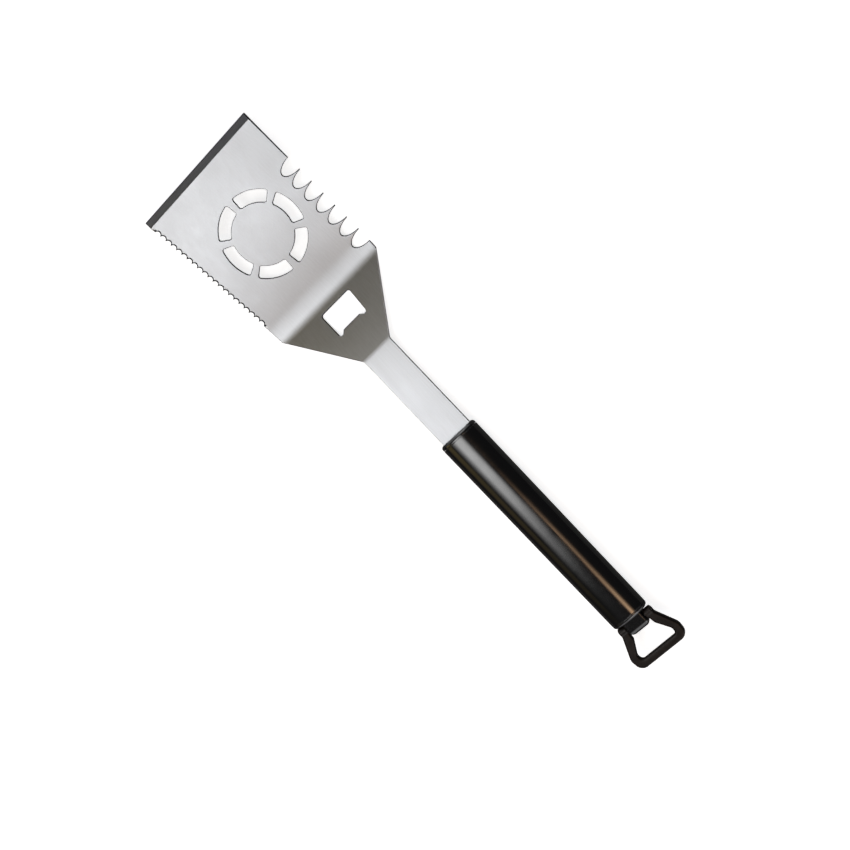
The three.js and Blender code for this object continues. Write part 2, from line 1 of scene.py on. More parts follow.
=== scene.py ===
"""Looks of the grill spatula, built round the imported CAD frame.

Millimetres in the part's own drawing frame, metres in the scene. The drawing frame lies in the
blade: x = 0 at the front edge and falling towards the butt, +Y on the tool's left, +Z up out of
the blade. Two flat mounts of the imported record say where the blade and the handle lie.
"""

import json
import math

import bmesh
import bpy
from mathutils import Matrix, Vector

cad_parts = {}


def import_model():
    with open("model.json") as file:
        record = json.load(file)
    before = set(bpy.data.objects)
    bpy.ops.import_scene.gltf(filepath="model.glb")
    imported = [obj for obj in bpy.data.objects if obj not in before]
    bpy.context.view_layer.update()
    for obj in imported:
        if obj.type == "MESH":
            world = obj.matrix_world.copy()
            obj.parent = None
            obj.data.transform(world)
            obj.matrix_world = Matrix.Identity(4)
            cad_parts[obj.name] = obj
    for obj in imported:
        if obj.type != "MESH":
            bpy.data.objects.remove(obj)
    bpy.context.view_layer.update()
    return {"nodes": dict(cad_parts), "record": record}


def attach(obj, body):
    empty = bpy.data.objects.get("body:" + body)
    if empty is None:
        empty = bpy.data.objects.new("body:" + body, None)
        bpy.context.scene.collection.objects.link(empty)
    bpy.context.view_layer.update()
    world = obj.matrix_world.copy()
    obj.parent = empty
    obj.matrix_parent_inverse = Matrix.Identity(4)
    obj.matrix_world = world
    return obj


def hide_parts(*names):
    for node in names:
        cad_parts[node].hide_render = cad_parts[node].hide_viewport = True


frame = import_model()

MM = 0.001

# Steel head, measured along the sheet from the front edge. These are the CAD model's sizes, apart
# from CURL_RISE and FIRST_BEND_LENGTH: the bend is eased, and what lies beyond it stays in place.
SHEET = 1.5
FRONT_WIDTH = 100
REAR_WIDTH = 92.2
FLAT_LENGTH = 104.4
CURL_LENGTH = 13.6
NECK_LENGTH = 48.1
STRIP_LENGTH = 75.2
STRIP_WIDTH = 24.4
CURL_RISE = 4.26
NECK_RISE = 16.5
HANDLE_RISE = 10.7
FIRST_BEND_LENGTH = 8
SECOND_BEND_LENGTH = 3.5
TANG_WIDTH = 18.6
TANG_SHOULDER = 4.2
TANG_SHOWN = 12  # the visual tang stops here, out of sight inside the handle

FRONT_BEVEL = 5
FRONT_LAND = 0.4
SIDE_BEVEL = 1.9
SIDE_LAND = 0.8
SIDE_FADE = 2  # the serration's ground bevel runs out over this, past either end

SCALLOP_COUNT = 7
SCALLOP_START = 38.4
SCALLOP_PITCH = 10.55
SCALLOP_DEPTH = 10.8
SCALLOP_TIP = 0.8
TOOTH_COUNT = 21
TOOTH_START = 8.3
TOOTH_PITCH = 4.43
TOOTH_DEPTH = 1.7
TOOTH_TIP = 0.5
SERRATION_END = TOOTH_START + TOOTH_COUNT * TOOTH_PITCH

SHEET_ROUND = 0.38
FRONT_SIDE_ROUND = 0.8
TOOTH_TIP_ROUND = 0.3
TOOTH_COINING = 1.1
LOWER_ROUND = 0.16
EDGE_REACH = 0.1  # how far into the sheet a point still counts as on its edge
# The second slot holds painted shade: near-black steel on the sheared edges and the serration
# bevel.
SHEET_FACE, PAINTED_SHADE_FACE, GROUND_FACE = range(3)  # the head plate's material slots
UPWARD = 0.9  # least upright part of a normal on the sheet's upper face
GRAIN_SCALE = 0.01  # UV units per mm

DRAIN_CENTRE = 60
DRAIN_RADIUS = 25.3
DRAIN_WIDTH = 8.4
DRAIN_COUNT = 6
DRAIN_BRIDGE = 5
DRAIN_CORNER = 1.4

OPENER_START = 6.3
OPENER_LENGTH = 18.6
OPENER_FRONT_WIDTH = 26.8
OPENER_REAR_WIDTH = 25.4
OPENER_TAB_WIDTH = 15.2
OPENER_TAB_HEIGHT = 2
OPENER_POCKET = 2.4

BEND_PLACE = FLAT_LENGTH + CURL_LENGTH
NECK_MIDDLE = BEND_PLACE + NECK_LENGTH / 2
SECOND_BEND_PLACE = BEND_PLACE + NECK_LENGTH
MOUTH_PLACE = SECOND_BEND_PLACE + STRIP_LENGTH

# Handle, measured back from its mouth
HANDLE_LENGTH = 165.5
HANDLE_FRONT_WIDTH = 29.2
HANDLE_REAR_WIDTH = 27.8
HANDLE_THICKNESS = 18
HANDLE_SQUARENESS = 2.3
SHELL_WALL = 2.2
SKIN = 0.005  # keeps the fine surface just inside the CAD one
SHELL_FRONT_ROUND = 0.1
SHELL_REAR_ROUND = 0.25
COLLAR_LENGTH = 3
COLLAR_SPIGOT = 5
COLLAR_SPIGOT_INSET = 2.8
CAP_SPIGOT = 15
FLANGE_LENGTH = 2.6
COLLAR_ROUND = 2.2
CAP_ROUND = 2
SLOT_EDGE = 0.25
SLOT_CORNER = 0.4
PLATE_INSET = 0.05  # the collar and the cap stand this far inside the shell's outline
PLATE_EDGE = 0.15
SPIGOT_OVERLAP = 0.5
SPIGOT_EDGE = 0.1
SCREW_PLACE = 155
SCREW_RADIUS = 1.5
SCREW_HEAD_RADIUS = 2.7
SCREW_HEAD_HEIGHT = 1.6
SCREW_LENGTH = 9
SCREW_SUNK = 0.15
RECESS_REACH = 1.8  # half the length of each arm of the screw's cross
RECESS_HALF_WIDTH = 0.35
RECESS_DEPTH = 0.9
RECESS_TURN = 20
CLEARANCE = 0.3

# Hanging loop
PIN_PLACE = 169.8
PIN_RADIUS = 1.5
PIN_HALF_LENGTH = 13.5
TONGUE_END = 176.4
TONGUE_WIDTH = 15.6
TONGUE_THICKNESS = 9
TONGUE_CORNER = 3.4
LOOP_THICKNESS = 5
LOOP_EYE_RADIUS = 3.3
BORE_REACH = 20  # out past both legs
LOOP_END = 197.8
LOOP_ROOT_WIDTH = 27.6
LOOP_FLARE_WIDTH = 42.6
LOOP_FLARE_PLACE = 188
LOOP_LEG = 6.6
LOOP_BAR = 5.6
LOOP_CORNER = 6
LOOP_EDGE = 1.3

EDGE_STEPS = 4
SECTION_STEPS = 160
ROUND_STEPS = 64

# Studio, in metres. Brightness profiles are (share of the light's side, level) stops.
FLOOR_REACH = 4
WHITE = (1, 1, 1)
FILL_PROFILE = [(0, 0), (0.2, 1), (0.8, 1), (1, 0)]

# Camera: where it looks, and where it stands from there
CAMERA_AIM = Vector((-0.0026, 0.0106, 0.012))
CAMERA_DISTANCE = 0.8867
CAMERA_AZIMUTH = -83.7
CAMERA_ELEVATION = 70.76
CAMERA_ROLL = -140.12
CAMERA_LENS = 57.53
CAMERA_SENSOR = 36


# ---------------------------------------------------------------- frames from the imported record


def mount_frame(name, face_point, side):
    """Matrix from a drawing frame in mm to the row frame, by a flat mount at face_point in it."""
    mount = next(m for m in frame["record"]["mounts"] if m["name"] == name)
    up = Vector(mount["axis"]).normalized() * side
    left = Vector((0, 1, 0))
    ahead = left.cross(up)
    turn = Matrix((ahead, left, up)).transposed()
    place = Vector(mount["pos_m"]) - turn @ (Vector(face_point) * MM)
    return Matrix.Translation(place) @ turn.to_4x4() @ Matrix.Scale(MM, 4)


BLADE_FRAME = mount_frame("blade_underside", (-DRAIN_CENTRE, 0, -SHEET / 2), -1)
HANDLE_FRAME = mount_frame("strip_top", (40, 0, SHEET / 2), 1)


# ---------------------------------------------------------------- outlines, as lists of (x, y)


def mix(low, high, share):
    return low + (high - low) * share


def half_width_at(place):
    return mix(FRONT_WIDTH, REAR_WIDTH, place / BEND_PLACE) / 2


def notched_edge(count, start, pitch, tip, depth, side, steps):
    """Round notches cut one after another into an edge of the blade."""
    radius = (pitch - tip) / 2
    points = []
    for number in range(count):
        middle = start + pitch * (number + 0.5)
        for i in range(steps + 1):
            angle = math.pi * i / steps
            place = middle - radius * math.cos(angle)
            edge = half_width_at(place)
            points.append((-place, side * (edge - depth * math.sin(angle))))
    return points


def rounded(corners, steps=6):
    """A closed outline through (x, y, radius) corners, each rounded by an arc."""
    points = []
    for i, (x, y, radius) in enumerate(corners):
        corner = Vector((x, y))
        before = (Vector(corners[i - 1][:2]) - corner).normalized()
        after = (Vector(corners[(i + 1) % len(corners)][:2]) - corner).normalized()
        if radius <= 0:
            points.append((x, y))
            continue
        half = before.angle(after) / 2
        centre = corner + (before + after).normalized() * radius / math.sin(half)
        reach = radius / math.tan(half)
        start = corner + before * reach - centre
        sweep = start.angle_signed(corner + after * reach - centre)
        for k in range(steps + 1):
            turn = -sweep * k / steps
            cos, sin = math.cos(turn), math.sin(turn)
            points.append((centre.x + start.x * cos - start.y * sin,
                           centre.y + start.x * sin + start.y * cos))
    return points


def blank_outline():
    """Outline of the flat sheet: the right edge, the tang, and the left edge back to the front."""
    shoulder = -(MOUTH_PLACE + TANG_SHOULDER)
    end = -(MOUTH_PLACE + TANG_SHOWN)
    right = [
        (-BEND_PLACE, -REAR_WIDTH / 2, 2.5),
        (-SECOND_BEND_PLACE, -STRIP_WIDTH / 2, 3),
        (shoulder, -STRIP_WIDTH / 2, 0.5),
        (shoulder, -TANG_WIDTH / 2, 0),
        (end, -TANG_WIDTH / 2, 0),
    ]
    left = [(x, -y, radius) for x, y, radius in reversed(right)]
    serration = notched_edge(TOOTH_COUNT, TOOTH_START, TOOTH_PITCH, TOOTH_TIP, TOOTH_DEPTH, 1, 10)
    scallops = notched_edge(
        SCALLOP_COUNT, SCALLOP_START, SCALLOP_PITCH, SCALLOP_TIP, SCALLOP_DEPTH, -1, 28)
    corners = [(0, -FRONT_WIDTH / 2, 0.5)]
    corners += [(x, y, 0) for x, y in scallops]
    corners += right + left
    corners += [(x, y, 0) for x, y in reversed(serration)]
    corners += [(0, FRONT_WIDTH / 2, 0.5)]
    return rounded(corners)


def edge_round(x, y):
    """Radius of the upper edge: coined deep inside the serration, eased by the front corner."""
    place = -x
    depth = half_width_at(place) - abs(y)
    on_serration = TOOTH_START <= place <= SERRATION_END
    if y > 0 and on_serration and depth < TOOTH_DEPTH + EDGE_REACH:
        return TOOTH_TIP_ROUND + TOOTH_COINING * max(depth / TOOTH_DEPTH, 0) ** 2
    if y < 0 and place < SCALLOP_START and depth < EDGE_REACH:
        return FRONT_SIDE_ROUND
    return SHEET_ROUND


def drain_slot(number):
    """One arc slot of the drain ring, with eased corners."""
    inner = DRAIN_RADIUS - DRAIN_WIDTH / 2
    outer = DRAIN_RADIUS + DRAIN_WIDTH / 2
    middle = 2 * math.pi * (number + 0.5) / DRAIN_COUNT
    half = math.pi / DRAIN_COUNT - DRAIN_BRIDGE / 2 / DRAIN_RADIUS
    ease = DRAIN_CORNER

    def at(radius, angle):
        turn = middle + angle
        return (-DRAIN_CENTRE + radius * math.cos(turn), radius * math.sin(turn))

    def corner(radius, step, angle, turn):
        """Quarter round between the arc and the straight end, as three points."""
        points = []
        for k in (1, 2, 3):
            swing = math.pi / 2 * k / 4
            points.append(at(radius - step * ease * (1 - math.cos(swing)),
                             angle - turn * ease * (1 - math.sin(swing)) / radius))
        return points

    steps = 24
    points = []
    for k in range(steps + 1):
        span = half - ease / outer
        points.append(at(outer, mix(-span, span, k / steps)))
    points += corner(outer, 1, half, 1)
    points += [at(outer - ease, half), at(inner + ease, half)]
    points += reversed(corner(inner, -1, half, 1))
    for k in range(steps + 1):
        span = half - ease / inner
        points.append(at(inner, mix(span, -span, k / steps)))
    points += corner(inner, -1, -half, -1)
    points += [at(inner + ease, -half), at(outer - ease, -half)]
    points += reversed(corner(outer, 1, -half, -1))
    return points


def opener_window():
    front = -(BEND_PLACE + OPENER_START)
    rear = front - OPENER_LENGTH
    tab_face = rear + OPENER_TAB_HEIGHT
    half = [
        (front, OPENER_FRONT_WIDTH / 2, 2),
        (rear, OPENER_REAR_WIDTH / 2, 1.6),
        (rear, OPENER_TAB_WIDTH / 2 + OPENER_POCKET, 0.3),
        (tab_face, OPENER_TAB_WIDTH / 2, 0.6),
    ]
    return rounded(half + [(x, -y, radius) for x, y, radius in reversed(half)])


def loop_outline():
    """The loop from above: out along the outside, back along the inside of the eye."""
    waist = LOOP_FLARE_WIDTH / 2
    root = LOOP_ROOT_WIDTH / 2
    inner = TONGUE_WIDTH / 2 + CLEARANCE
    bar = -(LOOP_END - LOOP_BAR)
    outside = [
        (-PIN_PLACE, root, 0),
        (-(PIN_PLACE + 3), root + 0.6, 4),
        (-LOOP_FLARE_PLACE, waist, 8),
        (-LOOP_END, waist - 1.2, LOOP_CORNER),
    ]
    inside = [
        (bar, waist - LOOP_LEG, 2.5),
        (-LOOP_FLARE_PLACE, waist - LOOP_LEG + 0.6, 4),
        (-(TONGUE_END + 1.5), inner + 1.2, 2),
        (-PIN_PLACE, inner, 0),
    ]
    outside += [(x, -y, radius) for x, y, radius in reversed(outside)]
    inside = [(x, -y, radius) for x, y, radius in reversed(inside)] + inside
    return rounded(outside + inside, steps=8)


def section_outline(place, inset):
    """The handle's section at a place, as (y, z) points."""
    share = place / HANDLE_LENGTH
    half_width = mix(HANDLE_FRONT_WIDTH, HANDLE_REAR_WIDTH, share) / 2 - inset
    half_height = HANDLE_THICKNESS / 2 - inset - SKIN
    power = 2 / HANDLE_SQUARENESS
    points = []
    for k in range(SECTION_STEPS):
        angle = 2 * math.pi * k / SECTION_STEPS
        across, up = math.cos(angle), math.sin(angle)
        points.append((half_width * math.copysign(abs(across) ** power, across),
                       half_height * math.copysign(abs(up) ** power, up)))
    return points


# ---------------------------------------------------------------- mesh tools


def signed_area(loop):
    return sum(a[0] * b[1] - b[0] * a[1] for a, b in zip(loop, loop[1:] + loop[:1])) / 2


def offset_loop(loop, distances):
    """The loop with each point moved by its own distance to the left of the direction of travel."""
    moved = []
    count = len(loop)
    for i, point in enumerate(loop):
        here = Vector(point)
        before = (here - Vector(loop[i - 1])).normalized()
        after = (Vector(loop[(i + 1) % count]) - here).normalized()
        normal = Vector((-(before.y + after.y), before.x + after.x))
        if normal.length < 1e-6:
            normal = Vector((-after.y, after.x))
        normal.normalize()
        lean = max(normal.dot(Vector((-after.y, after.x))), 0.45)
        shifted = here + normal * (distances[i] / lean)
        moved.append((shifted.x, shifted.y))
    return moved


def slab_rings(loop, low, high, edges, low_edge):
    """Rings of one outline from the upper face to the lower one, with rounded edges.

    Each ring is a list of (x, y, z). The upper edge has a radius of its own at each point.
    """
    rings = []
    for k in range(EDGE_STEPS + 1):
        angle = math.pi / 2 * k / EDGE_STEPS
        plan = offset_loop(loop, [edge * (1 - math.sin(angle)) for edge in edges])
        rings.append([(x, y, high - edge * (1 - math.cos(angle)))
                      for (x, y), edge in zip(plan, edges)])
    for k in range(EDGE_STEPS + 1):
        angle = math.pi / 2 * k / EDGE_STEPS
        plan = offset_loop(loop, [low_edge * (1 - math.cos(angle))] * len(loop))
        rings.append([(x, y, low + low_edge * (1 - math.sin(angle))) for x, y in plan])
    return rings


def clean_loop(loop, least=0.02):
    """Drops points that lie on top of the one before."""
    kept = []
    for point in loop:
        if not kept or (Vector(point) - Vector(kept[-1])).length > least:
            kept.append(point)
    if (Vector(kept[0]) - Vector(kept[-1])).length <= least:
        kept.pop()
    return kept


def rounded_slab(outer, holes, low, high, edge, low_edge=None, wall_material=lambda point: 0):
    """A bmesh plate in XY between two heights, with rounded edges all round.

    edge is the upper edge's radius, as a number or as a function of a point of the outline.
    """
    low_edge = edge if low_edge is None else low_edge
    edge_at = edge if callable(edge) else lambda x, y: edge
    bm = bmesh.new()
    loops = [clean_loop(outer)] + [clean_loop(hole) for hole in holes]
    upper_edges, lower_edges = [], []
    for number, loop in enumerate(loops):
        anticlockwise = signed_area(loop) > 0
        if anticlockwise != (number == 0):
            loop = loop[::-1]
        edges = [edge_at(x, y) for x, y in loop]
        rings = [
            [bm.verts.new(point) for point in ring]
            for ring in slab_rings(loop, low, high, edges, low_edge)
        ]
        count = len(loop)
        for ring, below in zip(rings, rings[1:]):
            for i in range(count):
                j = (i + 1) % count
                wall = bm.faces.new((ring[i], below[i], below[j], ring[j]))
                wall.material_index = wall_material(ring[i].co)
        upper_edges += [bm.edges.get((rings[0][i], rings[0][i - 1])) for i in range(count)]
        lower_edges += [bm.edges.get((rings[-1][i], rings[-1][i - 1])) for i in range(count)]
    for edges in (upper_edges, lower_edges):
        bmesh.ops.triangle_fill(bm, edges=edges, use_beauty=True)
    bmesh.ops.recalc_face_normals(bm, faces=bm.faces)
    return bm


def loft(rings, hollow=False):
    """A bmesh skin over rings of 3-D points. Hollow joins the last ring to the first."""
    bm = bmesh.new()
    made = [[bm.verts.new(point) for point in ring] for ring in rings]
    count = len(rings[0])
    pairs = list(zip(made, made[1:]))
    if hollow:
        pairs.append((made[-1], made[0]))
    for ring, after in pairs:
        for i in range(count):
            j = (i + 1) % count
            bm.faces.new((ring[i], after[i], after[j], ring[j]))
    if not hollow:
        bm.faces.new(made[0])
        bm.faces.new(list(reversed(made[-1])))
    bmesh.ops.recalc_face_normals(bm, faces=bm.faces)
    return bm


def lathe(profile, steps=ROUND_STEPS):
    """A bmesh solid turned about Z from (radius, height) points. It closes on the axis."""
    rings = []
    for radius, height in profile:
        rings.append([
            (radius * math.cos(2 * math.pi * k / steps), radius * math.sin(2 * math.pi * k / steps),
             height)
            for k in range(steps)
        ])
    return loft(rings)


def split_at(bm, point, normal):
    """Adds edges where a plane cuts the mesh."""
    everything = bm.verts[:] + bm.edges[:] + bm.faces[:]
    bmesh.ops.bisect_plane(bm, geom=everything, plane_co=point, plane_no=normal, dist=1e-5)


def make_object(name, bm, matrix, material, crisp=math.radians(38)):
    """Turns a bmesh in a drawing frame into a smooth-shaded object in the row frame."""
    bm.transform(matrix)
    for face in bm.faces:
        face.smooth = True
    for edge in bm.edges:
        if len(edge.link_faces) == 2 and edge.calc_face_angle() > crisp:
            edge.smooth = False
    mesh = bpy.data.meshes.new(name)
    bm.to_mesh(mesh)
    bm.free()
    mesh.materials.append(material)
    obj = bpy.data.objects.new(name, mesh)
    bpy.context.scene.collection.objects.link(obj)
    weighted = obj.modifiers.new("area_normals", "WEIGHTED_NORMAL")
    weighted.keep_sharp = True
    weighted.weight = 100
    return obj


def with_boolean(obj, tool_bm, matrix, operation):
    """Adds or removes a solid, given as a bmesh, and applies the result."""
    tool_bm.transform(matrix)
    mesh = bpy.data.meshes.new("boolean_tool")
    tool_bm.to_mesh(mesh)
    tool_bm.free()
    tool = bpy.data.objects.new("boolean_tool", mesh)
    bpy.context.scene.collection.objects.link(tool)
    modifier = obj.modifiers.new("cut", "BOOLEAN")
    modifier.operation = operation
    modifier.solver = "EXACT"
    modifier.object = tool
    weighted = obj.modifiers["area_normals"]
    weighted.show_viewport = False
    graph = bpy.context.evaluated_depsgraph_get()
    result = bpy.data.meshes.new_from_object(obj.evaluated_get(graph))
    weighted.show_viewport = True
    obj.modifiers.remove(modifier)
    obj.data = result
    bpy.data.objects.remove(tool)
    return obj


# ---------------------------------------------------------------- materials


def new_material(name):
    material = bpy.data.materials.new(name)
    material.use_nodes = True
    tree = material.node_tree
    shader = next(node for node in tree.nodes if node.type == "BSDF_PRINCIPLED")
    return material, tree, shader


def add_node(tree, kind, **values):
    node = tree.nodes.new(kind)
    for name, value in values.items():
        if name in node.inputs:
            node.inputs[name].default_value = value
        else:
            setattr(node, name, value)
    return node


def object_coordinates(tree, scale):
    """Object coordinates stretched by a scale per axis."""
    source = add_node(tree, "ShaderNodeTexCoord")
    mapping = add_node(tree, "ShaderNodeMapping")
    mapping.inputs["Scale"].default_value = scale
    tree.links.new(source.outputs["Object"], mapping.inputs["Vector"])
    return mapping.outputs["Vector"]


def noise(tree, vector, scale, detail=3, roughness=0.5):
    node = add_node(tree, "ShaderNodeTexNoise")
    node.inputs["Scale"].default_value = scale
    node.inputs["Detail"].default_value = detail
    node.inputs["Roughness"].default_value = roughness
    tree.links.new(vector, node.inputs["Vector"])
    return node.outputs["Fac"]


def remap(tree, value, from_low, from_high, to_low, to_high):
    node = add_node(tree, "ShaderNodeMapRange")
    node.inputs["From Min"].default_value = from_low
    node.inputs["From Max"].default_value = from_high
    node.inputs["To Min"].default_value = to_low
    node.inputs["To Max"].default_value = to_high
    tree.links.new(value, node.inputs["Value"])
    return node.outputs["Result"]


def combine(tree, operation, first, second):
    node = add_node(tree, "ShaderNodeMath", operation=operation)
    for socket, value in zip(node.inputs, (first, second)):
        if isinstance(value, (int, float)):
            socket.default_value = value
        else:
            tree.links.new(value, socket)
    return node.outputs["Value"]


def blend_colours(tree, share, low, high):
    node = add_node(tree, "ShaderNodeMix", data_type="RGBA")
    first, second = (socket for socket in node.inputs if socket.type == "RGBA")
    first.default_value = (*low, 1)
    second.default_value = (*high, 1)
    tree.links.new(share, node.inputs["Factor"])
    return next(socket for socket in node.outputs if socket.type == "RGBA")


def bump(tree, height, strength, distance, shader):
    node = add_node(tree, "ShaderNodeBump")
    node.inputs["Strength"].default_value = strength
    node.inputs["Distance"].default_value = distance
    tree.links.new(height, node.inputs["Height"])
    tree.links.new(node.outputs["Normal"], shader.inputs["Normal"])


def brushed_steel(name, grain=(9, 900, 900), dark=(0.70, 0.72, 0.755),
                  light=(0.78, 0.80, 0.84)):
    """Stainless sheet with a fine grain along X and faint clouding."""
    material, tree, shader = new_material(name)
    shader.inputs["Metallic"].default_value = 1
    shader.inputs["Anisotropic"].default_value = 0.9
    grain_vector = object_coordinates(tree, grain)
    lines = noise(tree, grain_vector, 1, 4, 0.7)
    plain_vector = object_coordinates(tree, (1, 1, 1))
    clouds = noise(tree, plain_vector, 14, 3, 0.55)
    colour = blend_colours(tree, remap(tree, lines, 0.3, 0.7, 0, 1), dark, light)
    tree.links.new(colour, shader.inputs["Base Color"])
    streaky = remap(tree, lines, 0.25, 0.75, 0.36, 0.43)
    cloudy = remap(tree, clouds, 0.3, 0.7, -0.025, 0.025)
    tree.links.new(combine(tree, "ADD", streaky, cloudy), shader.inputs["Roughness"])
    tangent = add_node(tree, "ShaderNodeTangent", direction_type="UV_MAP", uv_map="grain")
    tree.links.new(tangent.outputs["Tangent"], shader.inputs["Tangent"])
    bump(tree, lines, 0.12, 0.00005, shader)
    return material


def ground_steel(name):
    """The ground front bevel: finer marks, across the sheet, and a faint blue heat tint."""
    return brushed_steel(name, grain=(1400, 60, 1400), dark=(0.55, 0.59, 0.72),
                         light=(0.64, 0.68, 0.80))


def painted_shade_edge_steel(name):
    """Sheared edges, serration bevel: painted shade, dark and dull, with fine marks across them."""
    material, tree, shader = new_material(name)
    shader.inputs["Metallic"].default_value = 1
    vector = object_coordinates(tree, (3000, 3000, 300))
    marks = noise(tree, vector, 1, 3, 0.6)
    # Near-black steel is painted shade for the dark of the edges and serration; the noise is real
    # marks.
    dark, light = (0.030, 0.034, 0.048), (0.075, 0.080, 0.100)
    colour = blend_colours(tree, marks, dark, light)
    tree.links.new(colour, shader.inputs["Base Color"])
    tree.links.new(remap(tree, marks, 0.3, 0.7, 0.4, 0.55), shader.inputs["Roughness"])
    bump(tree, marks, 0.15, 0.00005, shader)
    return material


def gloss_black(name):
    """Glossy black moulding, faintly wavy, with a gloss that varies a little across it."""
    material, tree, shader = new_material(name)
    shader.inputs["Base Color"].default_value = (0.003, 0.003, 0.0032, 1)
    shader.inputs["Specular IOR Level"].default_value = 1
    shader.inputs["Coat Weight"].default_value = 0.65
    shader.inputs["Coat Roughness"].default_value = 0.06
    plain_vector = object_coordinates(tree, (1, 1, 1))
    clouds = noise(tree, plain_vector, 60, 3, 0.6)
    tree.links.new(remap(tree, clouds, 0.3, 0.7, 0.12, 0.2), shader.inputs["Roughness"])
    waves = noise(tree, plain_vector, 220, 2, 0.5)
    bump(tree, waves, 0.06, 0.0002, shader)
    return material


def cast_black(name):
    """Dark brown-black satin casting with clouded colour and an orange-peel surface."""
    material, tree, shader = new_material(name)
    shader.inputs["Metallic"].default_value = 0.3
    plain_vector = object_coordinates(tree, (1, 1, 1))
    clouds = noise(tree, plain_vector, 90, 4, 0.6)
    dark, light = (0.006, 0.0035, 0.002), (0.018, 0.010, 0.006)
    colour = blend_colours(tree, remap(tree, clouds, 0.3, 0.75, 0, 1), dark, light)
    tree.links.new(colour, shader.inputs["Base Color"])
    tree.links.new(remap(tree, clouds, 0.3, 0.7, 0.32, 0.48), shader.inputs["Roughness"])
    peel = noise(tree, plain_vector, 1400, 2, 0.5)
    bump(tree, peel, 0.15, 0.0002, shader)
    return material


def matte_plastic(name):
    """Dark grey moulding of the hidden cores, unpolished and finely grained."""
    material, tree, shader = new_material(name)
    plain_vector = object_coordinates(tree, (1, 1, 1))
    clouds = noise(tree, plain_vector, 120, 3, 0.6)
    dark, light = (0.055, 0.055, 0.058), (0.085, 0.085, 0.09)
    colour = blend_colours(tree, clouds, dark, light)
    tree.links.new(colour, shader.inputs["Base Color"])
    tree.links.new(remap(tree, clouds, 0.3, 0.7, 0.55, 0.7), shader.inputs["Roughness"])
    bump(tree, noise(tree, plain_vector, 1800, 2, 0.5), 0.2, 0.0002, shader)
    return material


def turned_steel(name):
    """Fastener steel: duller, with fine turning marks."""
    material, tree, shader = new_material(name)
    shader.inputs["Metallic"].default_value = 1
    plain_vector = object_coordinates(tree, (1, 1, 1))
    marks = noise(tree, plain_vector, 2600, 3, 0.6)
    dark, light = (0.42, 0.42, 0.43), (0.58, 0.58, 0.59)
    colour = blend_colours(tree, marks, dark, light)
    tree.links.new(colour, shader.inputs["Base Color"])
    tree.links.new(remap(tree, marks, 0.3, 0.7, 0.26, 0.42), shader.inputs["Roughness"])
    bump(tree, marks, 0.1, 0.0001, shader)
    return material


def floor_material():
    """A pale sweep: nearly white to the camera, whiter far out, and dim where it is mirrored."""
    near, far = 0.4, 2
    near_glow, far_glow = 0.78, 1.05
    material, tree, shader = new_material("studio_floor")
    plain_vector = object_coordinates(tree, (1, 1, 1))
    clouds = noise(tree, plain_vector, 2, 2, 0.5)
    colour = blend_colours(tree, clouds, (0.80, 0.80, 0.80), (0.82, 0.82, 0.82))
    tree.links.new(colour, shader.inputs["Base Color"])
    shader.inputs["Roughness"].default_value = 0.9
    shader.inputs["Specular IOR Level"].default_value = 0.1
    glow = add_node(tree, "ShaderNodeEmission")
    reach = add_node(tree, "ShaderNodeVectorMath", operation="LENGTH")
    tree.links.new(plain_vector, reach.inputs[0])
    strength = remap(tree, reach.outputs["Value"], near, far, near_glow, far_glow)
    tree.links.new(strength, glow.inputs["Strength"])
    bright = add_node(tree, "ShaderNodeAddShader")
    tree.links.new(shader.outputs["BSDF"], bright.inputs[0])
    tree.links.new(glow.outputs["Emission"], bright.inputs[1])
    dim = add_node(tree, "ShaderNodeBsdfDiffuse")
    dim.inputs["Color"].default_value = (0.16, 0.16, 0.16, 1)
    chooser = add_node(tree, "ShaderNodeMixShader")
    rays = add_node(tree, "ShaderNodeLightPath")
    output = next(node for node in tree.nodes if node.type == "OUTPUT_MATERIAL")
    tree.links.new(rays.outputs["Is Camera Ray"], chooser.inputs["Fac"])
    tree.links.new(dim.outputs["BSDF"], chooser.inputs[1])
    tree.links.new(bright.outputs["Shader"], chooser.inputs[2])
    tree.links.new(chooser.outputs["Shader"], output.inputs["Surface"])
    return material


# ---------------------------------------------------------------- steel head


def bend_span(place, length):
    """Where a bend of a given length of sheet starts and ends."""
    return place - length / 2, place + length / 2


def rise_at(place):
    """Rise of the sheet, in degrees, at a place along it."""
    first = bend_span(BEND_PLACE, FIRST_BEND_LENGTH)
    second = bend_span(SECOND_BEND_PLACE, SECOND_BEND_LENGTH)
    if place < FLAT_LENGTH:
        return 0
    if place < first[0]:
        return mix(0, CURL_RISE, (place - FLAT_LENGTH) / (first[0] - FLAT_LENGTH))
    if place < first[1]:
        return mix(CURL_RISE, NECK_RISE, (place - first[0]) / (first[1] - first[0]))
    if place < second[0]:
        return NECK_RISE
    if place < second[1]:
        return mix(NECK_RISE, HANDLE_RISE, (place - second[0]) / (second[1] - second[0]))
    return HANDLE_RISE


def bend_places():
    """Places where the sheet's surface is divided so that it bends smoothly."""
    first = bend_span(BEND_PLACE, FIRST_BEND_LENGTH)
    second = bend_span(SECOND_BEND_PLACE, SECOND_BEND_LENGTH)
    stretches = [(FLAT_LENGTH, first[0], 12), (*first, 10), (*second, 8)]
    places = set()
    for start, end, steps in stretches:
        places.update(round(mix(start, end, k / steps), 4) for k in range(steps + 1))
    return sorted(places)


